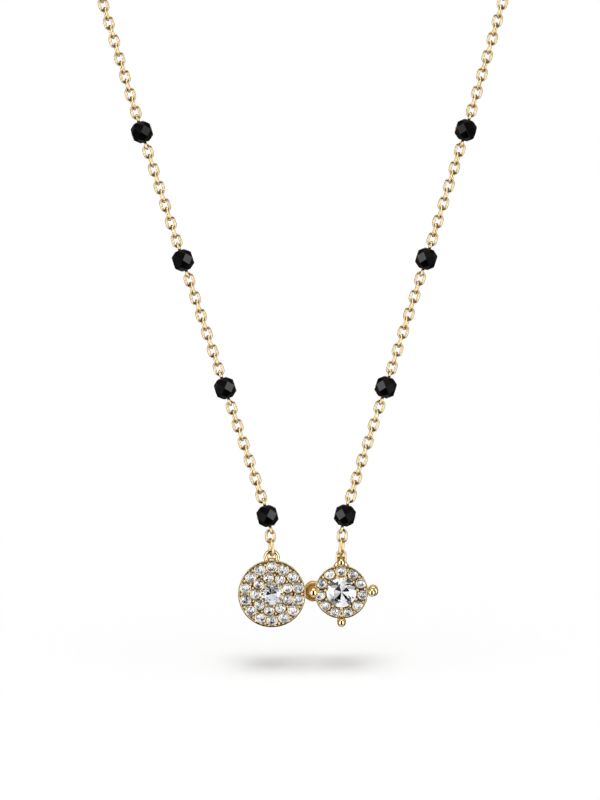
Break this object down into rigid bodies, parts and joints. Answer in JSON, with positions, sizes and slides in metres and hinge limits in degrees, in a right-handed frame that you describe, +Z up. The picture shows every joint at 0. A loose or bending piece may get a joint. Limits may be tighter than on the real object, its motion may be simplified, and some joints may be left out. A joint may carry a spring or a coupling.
{
  "type": "mangalsutra",
  "caption": "Fine gold cable-chain necklace with black faceted beads and a swinging double pendant: a pavé disc joined to a round halo cluster.",
  "frame": {"origin": "the nape, where the neck side of the clasp rests against the neck", "axes": "+Z up, +X to the viewer's right when the pendant is seen from the front, the front faces -Y"},
  "size_m": [0.0962, 0.1089, 0.1708],
  "materials": {
    "chain_gold": "polished yellow gold wire",
    "polished_gold": "polished yellow gold",
    "setting_gold": "polished yellow gold with hand-set grains",
    "black_beads": "opaque faceted black",
    "clear_stones": "clear cut stone"
  },
  "bodies": {
    "necklace": {"chain_front_left": "chain_gold", "chain_front_right": "chain_gold", "chain_back_left": "chain_gold", "chain_back_right": "chain_gold", "clasp": "polished_gold", "end_ring_left": "polished_gold", "end_ring_right": "polished_gold", "bead_left_1": "black_beads", "bead_left_2": "black_beads", "bead_left_3": "black_beads", "bead_left_4": "black_beads", "bead_right_1": "black_beads", "bead_right_2": "black_beads", "bead_right_3": "black_beads", "bead_right_4": "black_beads", "pin_left_1": "polished_gold", "pin_left_2": "polished_gold", "pin_left_3": "polished_gold", "pin_left_4": "polished_gold", "pin_right_1": "polished_gold", "pin_right_2": "polished_gold", "pin_right_3": "polished_gold", "pin_right_4": "polished_gold"},
    "pendant": {"pendant_setting": "setting_gold", "left_centre_stone": "clear_stones", "right_centre_stone": "clear_stones", "left_outer_stones": "clear_stones", "left_inner_stones": "clear_stones", "right_halo_stones": "clear_stones"}
  },
  "joints": [
    {"name": "pendant_swing", "type": "hinge", "parent": "necklace", "child": "pendant", "pos_m": [0, -0.105, -0.161], "axis": [1, 0, 0], "range_deg": [-60, 60]}
  ]
}
